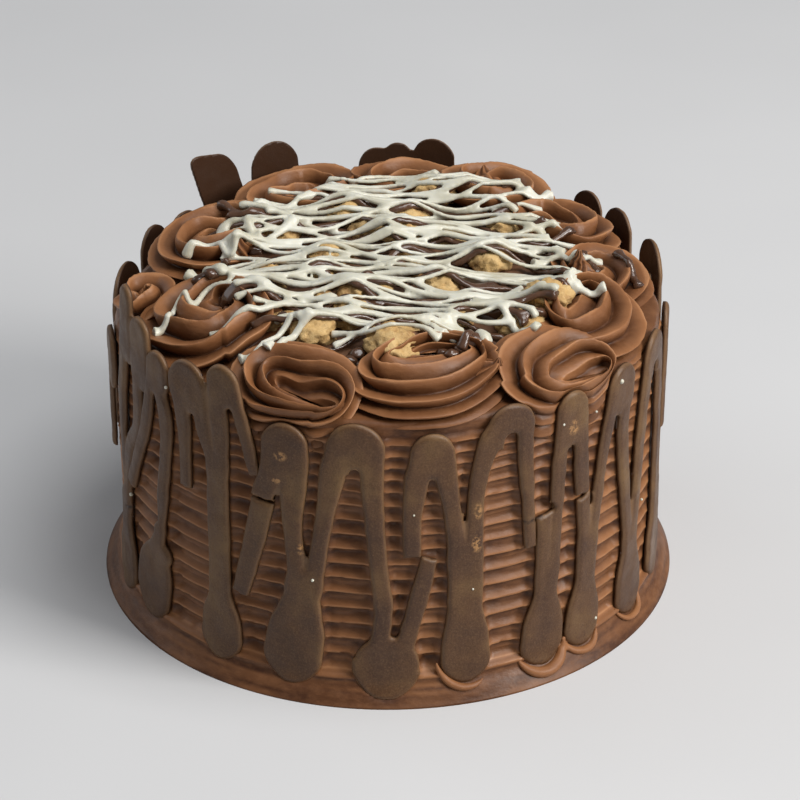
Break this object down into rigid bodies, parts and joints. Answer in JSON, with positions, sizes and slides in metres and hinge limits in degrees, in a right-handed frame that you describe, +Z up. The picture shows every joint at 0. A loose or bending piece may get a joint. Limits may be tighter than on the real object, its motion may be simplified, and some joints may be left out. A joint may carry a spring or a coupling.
{
  "type": "chocolate layer cake",
  "caption": "Tall round layer cake: combed chocolate buttercream sides wrapped in piped chocolate lace, a rim of piped swirls, and cookie chunks under white drizzle.",
  "frame": {"origin": "middle of the cake's flat base", "axes": "+Z up; -Y is the front, the side that the picture shows; +X is to the right as seen from the front"},
  "size_m": [0.2128, 0.2138, 0.1344],
  "materials": {
    "buttercream": "satin, soft",
    "lace_chocolate": "matt with a grey bloom",
    "cookie_and_drizzle": "satin"
  },
  "bodies": {
    "root": {"cake": "buttercream", "rosette_01": "buttercream", "rosette_02": "buttercream", "rosette_03": "buttercream", "rosette_04": "buttercream", "rosette_05": "buttercream", "rosette_06": "buttercream", "rosette_07": "buttercream", "rosette_08": "buttercream", "rosette_09": "buttercream", "rosette_10": "buttercream", "rosette_11": "buttercream", "rosette_12": "buttercream", "lace_front_left": "lace_chocolate", "lace_broken_leg": "lace_chocolate", "lace_front_centre": "lace_chocolate", "lace_front_right": "lace_chocolate", "lace_right": "lace_chocolate", "lace_right_tall": "lace_chocolate", "lace_left_pair": "lace_chocolate", "lace_left_shovel": "lace_chocolate", "lace_left_tall": "lace_chocolate", "lace_left_dark": "lace_chocolate", "lace_back_left": "lace_chocolate", "lace_back": "lace_chocolate", "lace_back_right": "lace_chocolate", "topping": "cookie_and_drizzle"}
  },
  "joints": []
}
